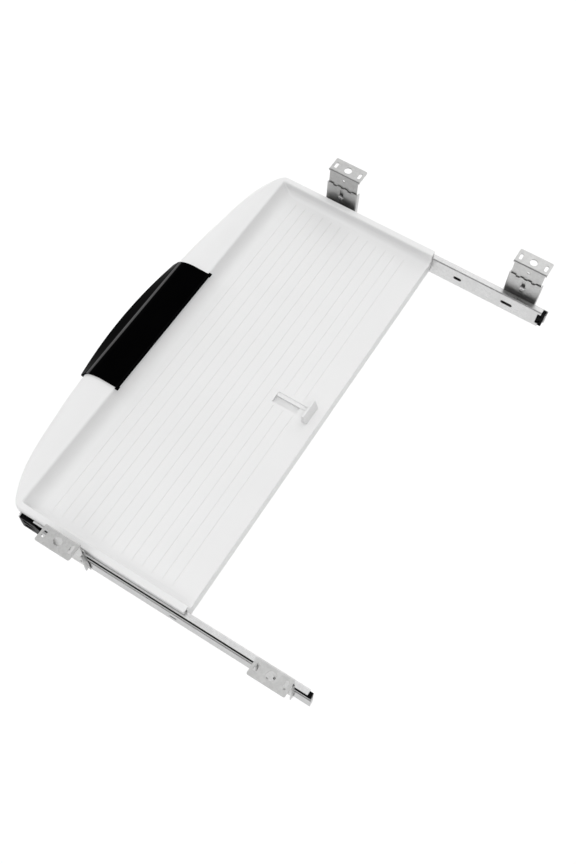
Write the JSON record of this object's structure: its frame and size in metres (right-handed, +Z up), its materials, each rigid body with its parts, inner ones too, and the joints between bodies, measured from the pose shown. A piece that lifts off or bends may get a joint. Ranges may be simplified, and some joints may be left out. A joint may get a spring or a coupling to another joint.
{
  "type": "under desk drawer",
  "caption": "Shallow pull-out keyboard tray on ball-bearing slides, hung under a desk from height-adjustable slotted brackets, with a grip and a sliding stop.",
  "frame": {"origin": "centre of the four-flange pattern, in the plane where the flanges bear on the desk underside", "axes": "+X to the user's right, -Y towards the user (pull-out direction), +Z up into the desk"},
  "size_m": [0.5836, 0.4176, 0.0777],
  "materials": {
    "tray_white": "satin white injection moulding",
    "stop_white": "satin white injection moulding",
    "grip_black": "gloss black moulding",
    "moulding_black": "matte black moulding",
    "zinc_slide": "zinc-plated rolled steel",
    "zinc_bracket": "zinc-plated pressed steel",
    "retainer_steel": "bright steel cage and balls",
    "fastener_steel": "zinc-plated fastener"
  },
  "bodies": {
    "desk_brackets": {"clamp_screw_left_front": "fastener_steel", "clamp_screw_left_rear": "fastener_steel", "clamp_screw_right_front": "fastener_steel", "clamp_screw_right_rear": "fastener_steel", "desk_plate_left_front": "zinc_bracket", "desk_plate_left_rear": "zinc_bracket", "desk_plate_right_front": "zinc_bracket", "desk_plate_right_rear": "zinc_bracket"},
    "rails": {"cabinet_member_left": "zinc_slide", "cabinet_member_right": "zinc_slide", "guide_left_front": "zinc_bracket", "guide_left_rear": "zinc_bracket", "guide_right_front": "zinc_bracket", "guide_right_rear": "zinc_bracket", "rear_bumper_left": "moulding_black", "rear_bumper_right": "moulding_black", "rivet_left_front_a": "fastener_steel", "rivet_left_front_b": "fastener_steel", "rivet_left_rear_a": "fastener_steel", "rivet_left_rear_b": "fastener_steel", "rivet_right_front_a": "fastener_steel", "rivet_right_front_b": "fastener_steel", "rivet_right_rear_a": "fastener_steel", "rivet_right_rear_b": "fastener_steel"},
    "tray": {"tray": "tray_white", "grip": "grip_black", "drawer_member_left": "zinc_slide", "drawer_member_right": "zinc_slide", "front_detent_left": "moulding_black", "front_detent_right": "moulding_black", "tray_screw_left_front": "fastener_steel", "tray_screw_left_middle": "fastener_steel", "tray_screw_left_rear": "fastener_steel", "tray_screw_right_front": "fastener_steel", "tray_screw_right_middle": "fastener_steel", "tray_screw_right_rear": "fastener_steel"},
    "retainer_left": {"ball_retainer_left": "retainer_steel"},
    "retainer_right": {"ball_retainer_right": "retainer_steel"},
    "stop": {"stop_slider": "stop_white"}
  },
  "joints": [
    {"name": "height_adjust", "type": "slide", "parent": "desk_brackets", "child": "rails", "axis": [0, 0, 1], "range_m": [-0.01, 0.006]},
    {"name": "tray_slide", "type": "slide", "parent": "rails", "child": "tray", "axis": [0, -1, 0], "range_m": [0, 0.24]},
    {"name": "retainer_left_travel", "type": "slide", "parent": "rails", "child": "retainer_left", "axis": [0, -1, 0], "range_m": [0, 0.12]},
    {"name": "retainer_right_travel", "type": "slide", "parent": "rails", "child": "retainer_right", "axis": [0, -1, 0], "range_m": [0, 0.12]},
    {"name": "stop_slide", "type": "slide", "parent": "tray", "child": "stop", "axis": [0, -1, 0], "range_m": [0, 0.03]}
  ],
  "couplings": [
    {"joint": "retainer_left_travel", "follows": "tray_slide", "ratio": 0.5},
    {"joint": "retainer_right_travel", "follows": "tray_slide", "ratio": 0.5}
  ]
}
